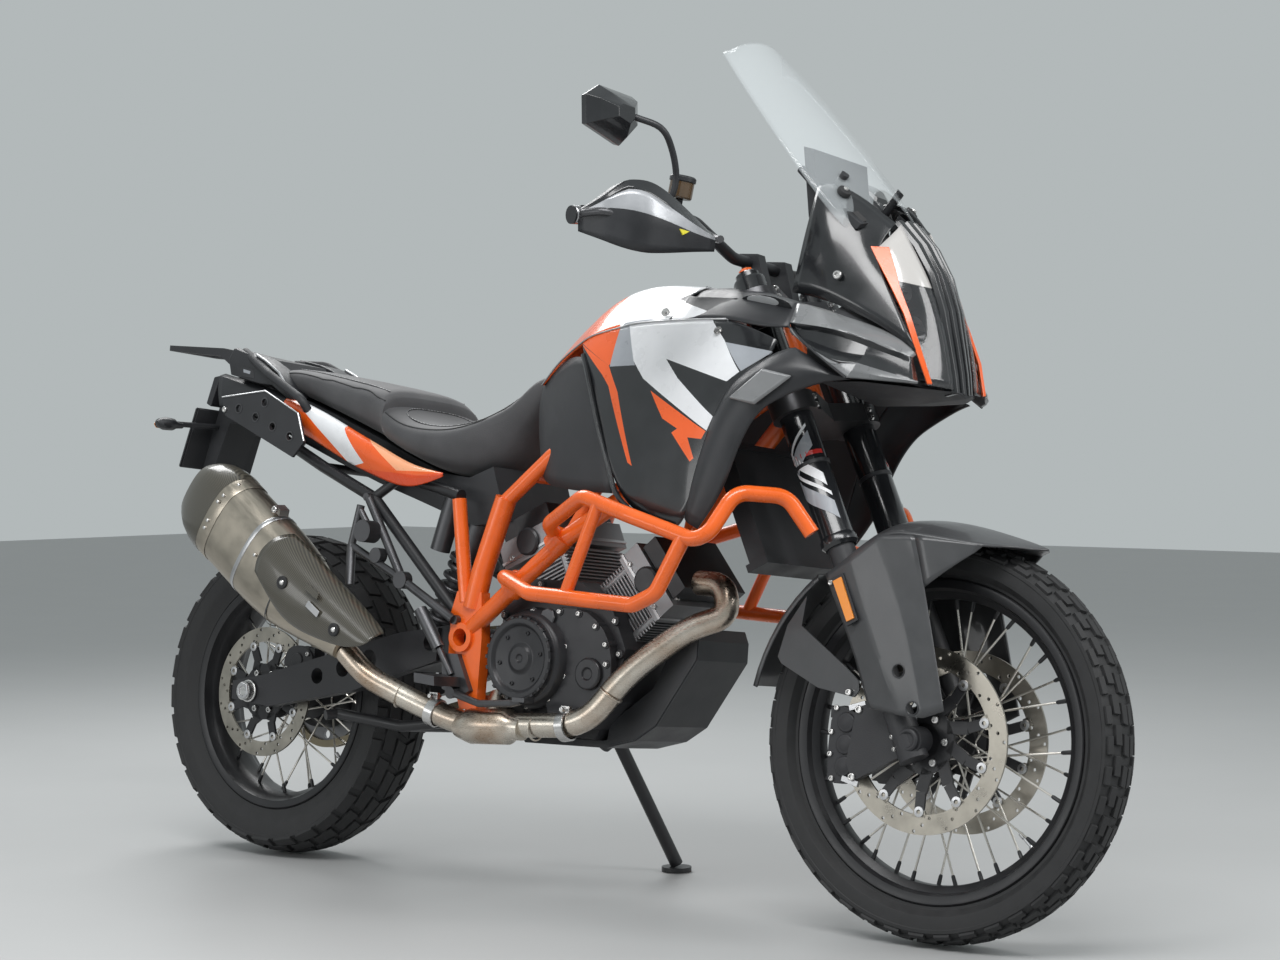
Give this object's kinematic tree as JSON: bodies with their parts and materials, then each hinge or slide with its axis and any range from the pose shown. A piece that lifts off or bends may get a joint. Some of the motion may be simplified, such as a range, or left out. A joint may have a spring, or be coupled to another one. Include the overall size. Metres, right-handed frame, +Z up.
{
  "type": "adventure motorcycle",
  "caption": "Adventure motorcycle with wire wheels, V-twin engine, trellis frame, tall screen, crash bars and high silencer, leaning on its side stand.",
  "frame": {"origin": "under the middle of the whole motorcycle, on the floor", "axes": "+X forward along the motorcycle, +Y to its left, +Z up; it leans to +Y on its side stand"},
  "size_m": [2.3314, 1.0102, 1.6049],
  "materials": {
    "frame_orange": "satin orange powder coat",
    "frame_black": "satin black powder coat",
    "cast_black": "satin black casting",
    "steel": "turned steel",
    "shock": "black with a white spring",
    "engine_black": "semi-matt black casting",
    "engine_grey": "cast aluminium",
    "cover_black": "satin black covers",
    "radiator": "black fins",
    "skid": "black moulding",
    "exhaust": "heat-tinted stainless steel",
    "titanium": "brushed titanium",
    "carbon": "carbon weave",
    "tank": "orange, white and black panels",
    "plastic_black": "grained black plastic",
    "panel_graphic": "white and black panels",
    "shroud": "black gloss plastic",
    "mask": "black gloss plastic",
    "lamp": "smoked lens",
    "screen": "clear polycarbonate",
    "dash": "black display housing",
    "seat": "dark grey grip vinyl",
    "tail": "orange and black panels",
    "rack": "black moulding",
    "lamp_red": "red lens",
    "lamp_smoke": "smoked lens",
    "steel_parts": "forged aluminium",
    "peg_brackets": "cast aluminium",
    "chain": "oiled steel",
    "caliper": "black anodised",
    "wheel_black": "black anodised rim, steel spokes",
    "tyre": "rubber",
    "disc": "ground steel",
    "sprocket": "steel",
    "fork_lower": "black lugs, polished tubes",
    "fork_outer": "black anodised",
    "clamps": "black anodised",
    "fender": "satin black plastic",
    "bar": "black tapered bar",
    "controls": "grips, levers and reservoirs",
    "guards": "black plastic with pale facets",
    "mirror_shell": "gloss black shells",
    "stand_black": "black paint",
    "cap": "black anodised"
  },
  "bodies": {
    "root": {"frame_side_right": "frame_orange", "frame_side_left": "frame_orange", "frame_rails_right": "frame_orange", "frame_rails_left": "frame_orange", "steering_head": "frame_orange", "subframe": "frame_black", "swingarm_cross": "cast_black", "swingarm_right": "cast_black", "swingarm_left": "cast_black", "rear_axle": "steel", "rear_shock": "shock", "crankcase": "engine_black", "cylinders": "engine_grey", "engine_covers": "cover_black", "radiator": "radiator", "skid_plate": "skid", "exhaust_pipes": "exhaust", "muffler": "titanium", "muffler_trim": "carbon", "crash_bars": "frame_orange", "fuel_tank": "tank", "knee_covers": "plastic_black", "tank_panels": "panel_graphic", "shrouds": "shroud", "side_spears": "plastic_black", "nose_mask": "mask", "headlight": "lamp", "windscreen": "screen", "dash": "dash", "rider_seat": "seat", "passenger_seat": "seat", "seat_tray": "plastic_black", "tail_panels": "tail", "rear_rack": "rack", "plate_hanger": "plastic_black", "tail_light": "lamp_red", "indicators": "lamp_smoke", "foot_controls": "steel_parts", "passenger_pegs": "peg_brackets", "chain": "chain", "rear_caliper": "caliper"},
    "rear_wheel": {"rear_wheel": "wheel_black", "rear_tyre": "tyre", "rear_disc": "disc", "rear_sprocket": "sprocket"},
    "steering": {"fork_lowers": "fork_lower", "fork_outer_tubes": "fork_outer", "triple_clamps": "clamps", "front_fender": "fender", "front_calipers": "caliper", "handlebar": "bar", "bar_controls": "controls", "hand_guards": "guards", "mirrors": "mirror_shell"},
    "front_wheel": {"front_wheel": "wheel_black", "front_tyre": "tyre", "front_discs": "disc"},
    "side_stand": {"side_stand": "stand_black"},
    "centre_stand": {"centre_stand": "stand_black"},
    "fuel_cap": {"fuel_cap": "cap"}
  },
  "joints": [
    {"name": "rear_wheel_spin", "type": "hinge", "parent": "root", "child": "rear_wheel", "pos_m": [-0.76165, -0.10166, 0.33236], "axis": [0, 0.9945, -0.1045], "continuous": true},
    {"name": "steering_turn", "type": "hinge", "parent": "root", "child": "steering", "pos_m": [0.45914, -0.03317, 0.98394], "axis": [-0.4384, 0.094, 0.8939], "range_deg": [-36.5, 33.5]},
    {"name": "front_wheel_spin", "type": "hinge", "parent": "steering", "child": "front_wheel", "pos_m": [0.81833, -0.09911, 0.34616], "axis": [-0.0235, 0.993, -0.1159], "continuous": true},
    {"name": "side_stand_fold", "type": "hinge", "parent": "root", "child": "side_stand", "pos_m": [-0.02665, 0.04622, 0.28514], "axis": [0.1771, 0.8665, 0.4668], "range_deg": [0, 98.35]},
    {"name": "centre_stand_fold", "type": "hinge", "parent": "root", "child": "centre_stand", "pos_m": [-0.15965, -0.10349, 0.31495], "axis": [0, -0.9945, 0.1045], "range_deg": [0, 96]},
    {"name": "fuel_cap_lid", "type": "hinge", "parent": "root", "child": "fuel_cap", "pos_m": [0.25535, -0.016, 1.14737], "axis": [0, 0.9945, -0.1045], "range_deg": [0, 100]}
  ]
}
